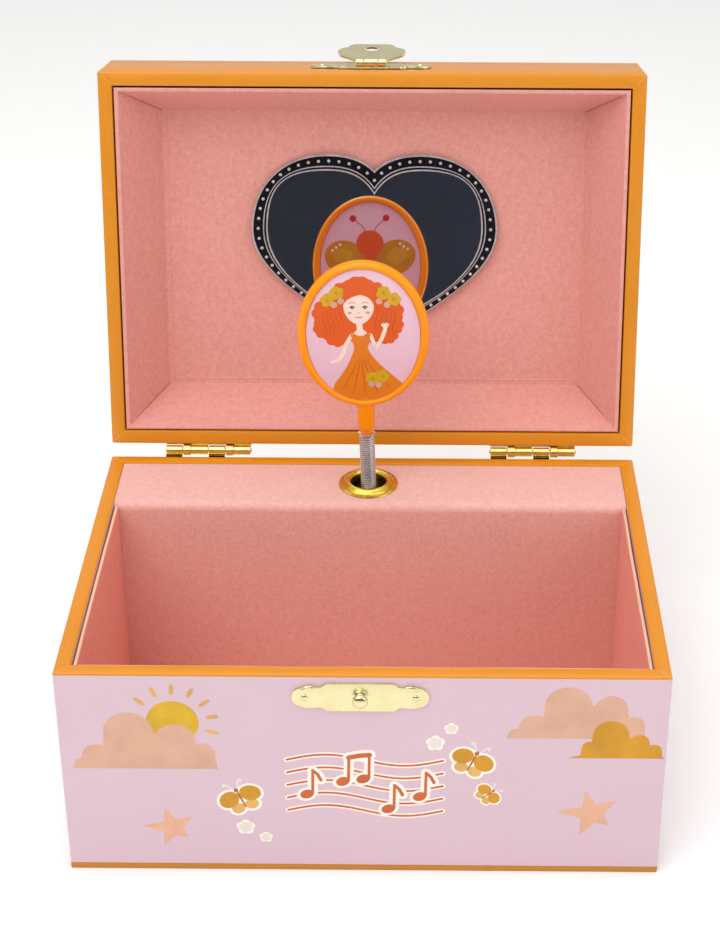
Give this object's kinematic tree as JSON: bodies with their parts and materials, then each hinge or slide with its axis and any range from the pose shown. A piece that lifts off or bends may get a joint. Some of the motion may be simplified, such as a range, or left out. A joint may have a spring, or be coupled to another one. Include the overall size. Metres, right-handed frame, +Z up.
{
  "type": "musical jewellery box",
  "caption": "Papered musical jewellery box, open: velvet-lined compartment, hinged lid with heart mirror and hasp, picture disc on a spring above the movement cover.",
  "frame": {"origin": "centre of the flat underside of the box, at table height", "axes": "+X to the right seen from the front, +Y to the back, +Z up; the clasp faces -Y"},
  "size_m": [0.155, 0.1646, 0.1756],
  "materials": {
    "orange_paper": "satin orange wrap paper",
    "printed_paper": null,
    "base_board": "orange paper over grey board",
    "velvet": "short salmon-pink flock",
    "gold_plate": "pale gold plate, satin",
    "brass": "polished brass",
    "steel": "drawn steel",
    "zinc": "die-cast, dull",
    "orange_plastic": "moulded, soft gloss",
    "picture_card": "glossy printed card",
    "mirror": "silvered acrylic",
    "mirror_border": "black border with silver beads"
  },
  "bodies": {
    "box": {"base_board": "base_board", "front_wall": "printed_paper", "back_wall": "printed_paper", "left_wall": "printed_paper", "right_wall": "printed_paper", "lining_floor": "velvet", "lining_front": "velvet", "lining_left": "velvet", "lining_right": "velvet", "movement_cover": "velvet", "spindle_eyelet": "brass", "hinge_leaf_box_left": "brass", "hinge_leaf_box_right": "brass", "hinge_pin_left": "brass", "hinge_pin_right": "brass", "hinge_nail_box_1": "brass", "hinge_nail_box_2": "brass", "hinge_nail_box_3": "brass", "hinge_nail_box_4": "brass", "catch_plate": "gold_plate", "catch_knob": "gold_plate", "catch_nail_1": "gold_plate", "catch_nail_2": "gold_plate", "movement_bedplate": "zinc", "movement_screw_1": "steel", "movement_screw_2": "steel", "spindle_bracket": "steel", "music_comb": "steel", "comb_screw": "brass", "spring_housing": "zinc", "mainspring": "steel"},
    "lid": {"lid_top": "orange_paper", "lid_front_wall": "orange_paper", "lid_back_wall": "orange_paper", "lid_left_wall": "orange_paper", "lid_right_wall": "orange_paper", "lid_lining": "velvet", "mirror_frame": "mirror_border", "mirror_glass": "mirror", "hinge_leaf_lid_left": "brass", "hinge_leaf_lid_right": "brass", "hinge_nail_lid_1": "brass", "hinge_nail_lid_2": "brass", "hinge_nail_lid_3": "brass", "hinge_nail_lid_4": "brass", "hasp_plate": "gold_plate", "hasp_pin": "gold_plate", "hasp_nail_1": "gold_plate", "hasp_nail_2": "gold_plate"},
    "flap": {"hasp_flap": "gold_plate"},
    "key": {"winding_key": "brass", "great_wheel": "brass"},
    "cylinder": {"music_cylinder": "brass"},
    "spindle": {"figure_spindle": "steel"},
    "governor": {"governor_wheel": "brass"},
    "fly": {"governor_fly": "brass"},
    "spring": {"figure_spring": "steel"},
    "figure": {"figure_frame": "orange_plastic", "figure_picture_front": "picture_card", "figure_picture_back": "picture_card"}
  },
  "joints": [
    {"name": "lid_hinge", "type": "hinge", "parent": "box", "child": "lid", "pos_m": [0, 0.057, 0.0641], "axis": [1, 0, 0], "range_deg": [0, 101.3]},
    {"name": "hasp_hinge", "type": "hinge", "parent": "lid", "child": "flap", "pos_m": [-0.0005, 0.0863, 0.1745], "axis": [1, 0, 0], "range_deg": [0, 172.4]},
    {"name": "key_turn", "type": "hinge", "parent": "box", "child": "key", "pos_m": [0.03275, 0, 0.034], "axis": [0, 1, 0], "continuous": true},
    {"name": "cylinder_spin", "type": "hinge", "parent": "box", "child": "cylinder", "pos_m": [0, 0.0404, 0.034], "axis": [1, 0, 0], "continuous": true},
    {"name": "spindle_spin", "type": "hinge", "parent": "box", "child": "spindle", "pos_m": [-0.0007, 0.0404, 0], "axis": [0, 0, 1], "continuous": true},
    {"name": "governor_spin", "type": "hinge", "parent": "box", "child": "governor", "pos_m": [0, 0.0404, 0.0245], "axis": [1, 0, 0], "continuous": true},
    {"name": "fly_spin", "type": "hinge", "parent": "box", "child": "fly", "pos_m": [-0.00675, 0.0338, 0], "axis": [0, 0, 1], "continuous": true},
    {"name": "figure_fold", "type": "hinge", "parent": "box", "child": "spring", "pos_m": [-0.0007, 0.0404, 0.069], "axis": [1, 0, 0], "range_deg": [0, 90], "deforming": ["figure_spring"]},
    {"name": "figure_spin", "type": "hinge", "parent": "spring", "child": "figure", "pos_m": [-0.0007, 0.0404, 0], "axis": [0, 0, 1], "continuous": true}
  ],
  "couplings": [
    {"joint": "cylinder_spin", "follows": "key_turn", "ratio": 4},
    {"joint": "spindle_spin", "follows": "key_turn", "ratio": -8},
    {"joint": "governor_spin", "follows": "key_turn", "ratio": -15},
    {"joint": "fly_spin", "follows": "key_turn", "ratio": -300},
    {"joint": "figure_spin", "follows": "key_turn", "ratio": -8},
    {"joint": "figure_fold", "follows": "lid_hinge", "ratio": 0.8884}
  ]
}
